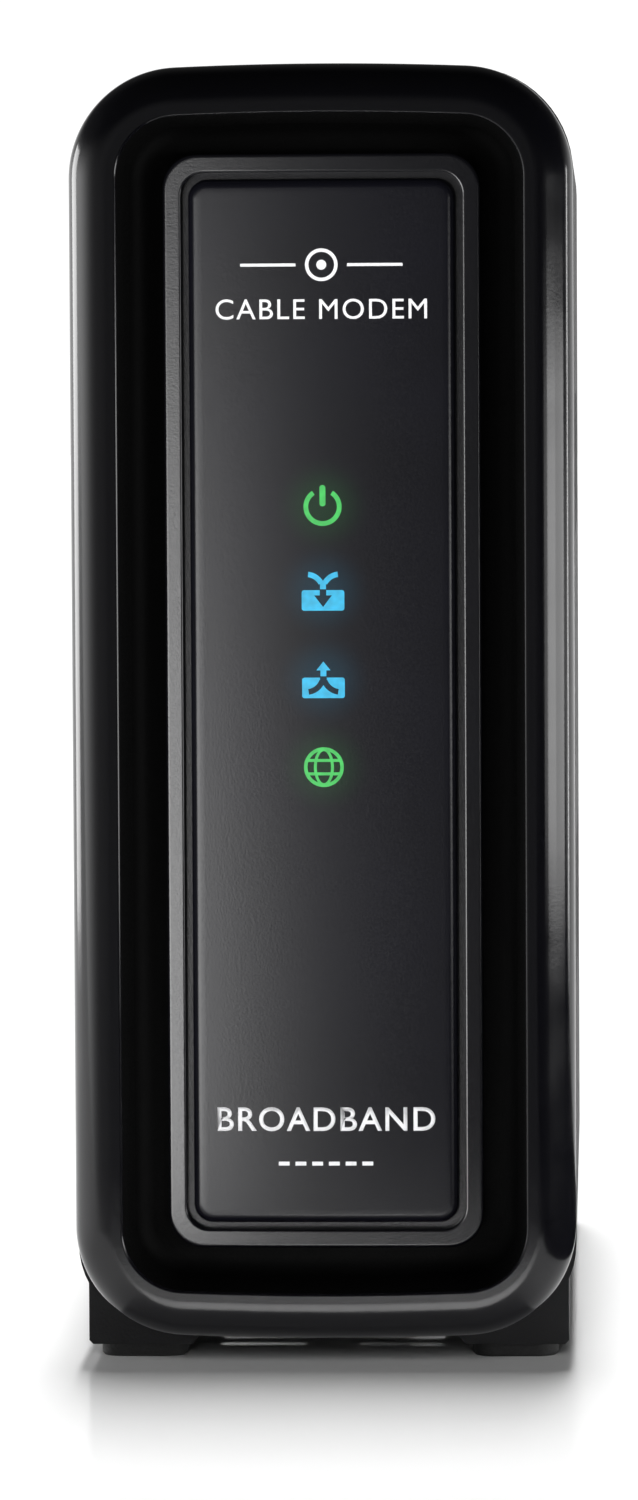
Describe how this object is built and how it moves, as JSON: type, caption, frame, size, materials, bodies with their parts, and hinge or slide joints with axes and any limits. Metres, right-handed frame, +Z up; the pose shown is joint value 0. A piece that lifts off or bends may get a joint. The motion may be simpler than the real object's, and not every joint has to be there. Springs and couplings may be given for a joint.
{
  "type": "cable modem",
  "caption": "Upright rounded-box cable modem with a glossy moat bezel, lit front symbols, rubber feet and rear coaxial, network and power sockets.",
  "frame": {"origin": "on the table, under the middle of the modem's bounding box", "axes": "+Z up, front faces -Y, +X to the right seen from the front"},
  "size_m": [0.0508, 0.132, 0.132],
  "materials": {
    "bezel_gloss": "high-gloss black",
    "casing_matte": "fine spark-eroded texture, charcoal",
    "frame_satin": "satin, fine grain",
    "panel_satin": "satin, fine grain",
    "symbol_green": "translucent, lit from behind",
    "symbol_blue": "translucent, lit from behind",
    "clear_acrylic": "polished",
    "shroud_black": "matte",
    "led_white": "moulded",
    "board_green": "solder mask",
    "chip_black": "moulded epoxy",
    "thermal_grey": "soft silicone",
    "aluminium": "extruded",
    "tinned_steel": "tin-plated sheet",
    "nickel": "nickel-plated",
    "gold": "gold-plated",
    "ferrite": "pressed ferrite",
    "passive_tan": "sintered",
    "jack_black": "moulded",
    "lamp_amber": "translucent",
    "insulator_white": "moulded",
    "screw_steel": "black zinc",
    "foot_rubber": "matte",
    "label_silver": "printed film, blank",
    "button_white": "moulded"
  },
  "bodies": {
    "housing": {"board_screws": "screw_steel", "case_screws": "screw_steel", "clock_crystal": "tinned_steel", "coax_barrel": "nickel", "coax_contact": "gold", "coax_insulator": "insulator_white", "coax_nut": "nickel", "coax_washer": "nickel", "ethernet_body": "jack_black", "ethernet_contacts": "gold", "ethernet_lamps": "lamp_amber", "ethernet_shield": "tinned_steel", "ethernet_transformer": "chip_black", "face_panel": "panel_satin", "filter_capacitors": "aluminium", "flash_chip": "chip_black", "front_bezel": "bezel_gloss", "front_left_foot_pad": "foot_rubber", "front_right_foot_pad": "foot_rubber", "heat_sink": "aluminium", "heat_sink_pins": "jack_black", "indicator_leds": "led_white", "left_casing": "casing_matte", "light_guide": "clear_acrylic", "light_shroud": "shroud_black", "main_board": "board_green", "memory_chip": "chip_black", "online_symbol": "symbol_green", "panel_frame": "frame_satin", "power_contact": "tinned_steel", "power_inductors": "ferrite", "power_pin": "nickel", "power_socket": "jack_black", "power_symbol": "symbol_green", "processor_chip": "chip_black", "rating_label": "label_silver", "rear_left_foot_pad": "foot_rubber", "rear_right_foot_pad": "foot_rubber", "receive_symbol": "symbol_blue", "reset_dome": "tinned_steel", "reset_switch": "jack_black", "right_casing": "casing_matte", "send_symbol": "symbol_blue", "small_passives": "passive_tan", "thermal_pad": "thermal_grey", "tuner_shield_fence": "tinned_steel", "tuner_shield_lid": "tinned_steel"},
    "reset_button": {"reset_button": "button_white"}
  },
  "joints": [
    {"name": "reset_press", "type": "slide", "parent": "housing", "child": "reset_button", "axis": [0, -1, 0], "range_m": [0, 0.0005], "stiffness_N_per_m": 800, "springref_m": -0.0006}
  ]
}
